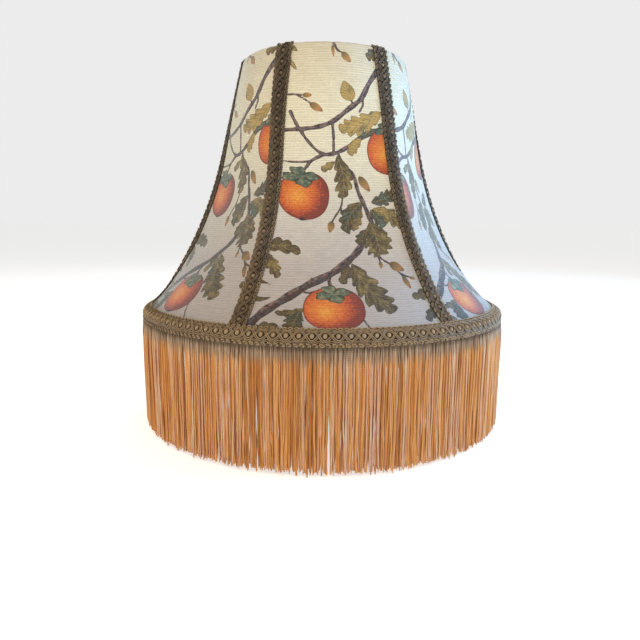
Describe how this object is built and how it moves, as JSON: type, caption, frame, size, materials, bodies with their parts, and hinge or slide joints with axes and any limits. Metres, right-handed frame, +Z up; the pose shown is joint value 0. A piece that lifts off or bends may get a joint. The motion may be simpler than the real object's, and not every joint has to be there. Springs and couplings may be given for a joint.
{
  "type": "lamp shade",
  "caption": "Panelled bell lamp shade of printed linen on a bound wire frame, with braid over the ribs and hem, a long strand fringe and a recessed washer spider.",
  "frame": {"origin": "centre of the spider washer's bore, at half its thickness", "axes": "+Z up along the shade's axis of symmetry and the washer's bore; -Y towards the middle of the front panel; +X through a rib"},
  "size_m": [0.3642, 0.3642, 0.3483],
  "materials": {
    "frame_wire": "satin",
    "spider_brass": "satin",
    "binding_tape": "matte",
    "cover_linen": "matte",
    "lining_cotton": "matte",
    "gimp_braid": "satin",
    "fringe_head": "satin",
    "fringe_strands": "satin",
    "edge_tape": "matte"
  },
  "bodies": {
    "root": {"top_ring": "frame_wire", "bottom_ring": "frame_wire", "rib_1": "frame_wire", "rib_2": "frame_wire", "rib_3": "frame_wire", "rib_4": "frame_wire", "rib_5": "frame_wire", "rib_6": "frame_wire", "spider_washer": "spider_brass", "spider_arm_1": "spider_brass", "spider_arm_2": "spider_brass", "spider_arm_3": "spider_brass", "top_ring_binding": "binding_tape", "bottom_ring_binding": "binding_tape", "rib_binding_1": "binding_tape", "rib_binding_2": "binding_tape", "rib_binding_3": "binding_tape", "rib_binding_4": "binding_tape", "rib_binding_5": "binding_tape", "rib_binding_6": "binding_tape", "cover_panel_1": "cover_linen", "cover_panel_2": "cover_linen", "cover_panel_3": "cover_linen", "cover_panel_4": "cover_linen", "cover_panel_5": "cover_linen", "cover_panel_6": "cover_linen", "lining_panel_1": "lining_cotton", "lining_panel_2": "lining_cotton", "lining_panel_3": "lining_cotton", "lining_panel_4": "lining_cotton", "lining_panel_5": "lining_cotton", "lining_panel_6": "lining_cotton", "rib_gimp_1": "gimp_braid", "rib_gimp_2": "gimp_braid", "rib_gimp_3": "gimp_braid", "rib_gimp_4": "gimp_braid", "rib_gimp_5": "gimp_braid", "rib_gimp_6": "gimp_braid", "hem_gimp": "gimp_braid", "fringe_header": "fringe_head", "fringe_skirt": "fringe_strands", "inner_hem_tape": "edge_tape", "inner_top_tape": "edge_tape", "arm_neatener_1": "edge_tape", "arm_neatener_2": "edge_tape", "arm_neatener_3": "edge_tape"}
  },
  "joints": []
}
